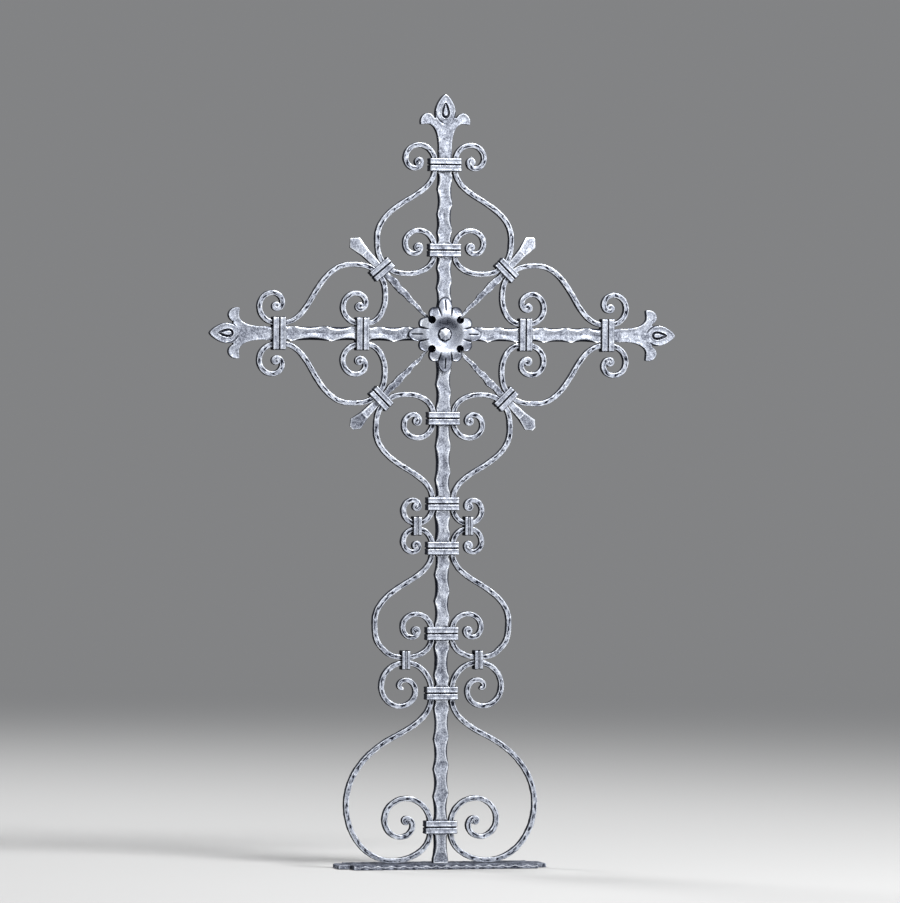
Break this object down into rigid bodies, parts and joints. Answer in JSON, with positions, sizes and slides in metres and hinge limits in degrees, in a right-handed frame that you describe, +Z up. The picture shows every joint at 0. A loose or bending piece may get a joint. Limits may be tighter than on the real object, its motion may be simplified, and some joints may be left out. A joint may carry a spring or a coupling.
{
  "type": "grave cross",
  "caption": "Wrought-iron grave cross with hammered bars, scrolls, wrapped collars, a riveted rosette, diagonal rays and a small base plate.",
  "frame": {"origin": "centre of the base plate's underside, on the surface that the cross stands on", "axes": "+Z up along the upright, the front with the rosette faces -Y, +X to the right seen from the front"},
  "size_m": [0.768, 0.09, 1.237],
  "materials": {
    "bar_iron": "graphite paint over hammered iron, brushed with silver",
    "scroll_iron": "graphite paint over hammered iron, silver on the high spots",
    "collar_iron": "graphite paint with silver-brushed beads",
    "rosette_iron": "silver-brushed pressed sheet, dark in its dish and grooves",
    "plate_iron": "graphite paint over a hammered edge, lightly brushed with silver"
  },
  "bodies": {
    "root": {"upright": "bar_iron", "arm_left": "bar_iron", "arm_right": "bar_iron", "ray_upper_left": "bar_iron", "ray_upper_right": "bar_iron", "ray_lower_left": "bar_iron", "ray_lower_right": "bar_iron", "rosette": "rosette_iron", "rosette_rivet": "rosette_iron", "scroll_top_left": "scroll_iron", "scroll_top_right": "scroll_iron", "scroll_neck_left": "scroll_iron", "scroll_neck_right": "scroll_iron", "scroll_middle_left": "scroll_iron", "scroll_middle_right": "scroll_iron", "scroll_base_left": "scroll_iron", "scroll_base_right": "scroll_iron", "scroll_arm_left_upper": "scroll_iron", "scroll_arm_left_lower": "scroll_iron", "scroll_arm_right_upper": "scroll_iron", "scroll_arm_right_lower": "scroll_iron", "collar_top_outer": "collar_iron", "collar_top_inner": "collar_iron", "collar_neck_inner": "collar_iron", "collar_neck_outer": "collar_iron", "collar_middle_upper": "collar_iron", "collar_middle_lower": "collar_iron", "collar_base_upper": "collar_iron", "collar_base_lower": "collar_iron", "collar_left_inner": "collar_iron", "collar_left_outer": "collar_iron", "collar_right_inner": "collar_iron", "collar_right_outer": "collar_iron", "collar_ray_upper_left": "collar_iron", "collar_ray_upper_right": "collar_iron", "collar_ray_lower_left": "collar_iron", "collar_ray_lower_right": "collar_iron", "tie_upper_left": "collar_iron", "tie_upper_right": "collar_iron", "tie_lower_left": "collar_iron", "tie_lower_right": "collar_iron", "base_plate": "plate_iron"}
  },
  "joints": []
}
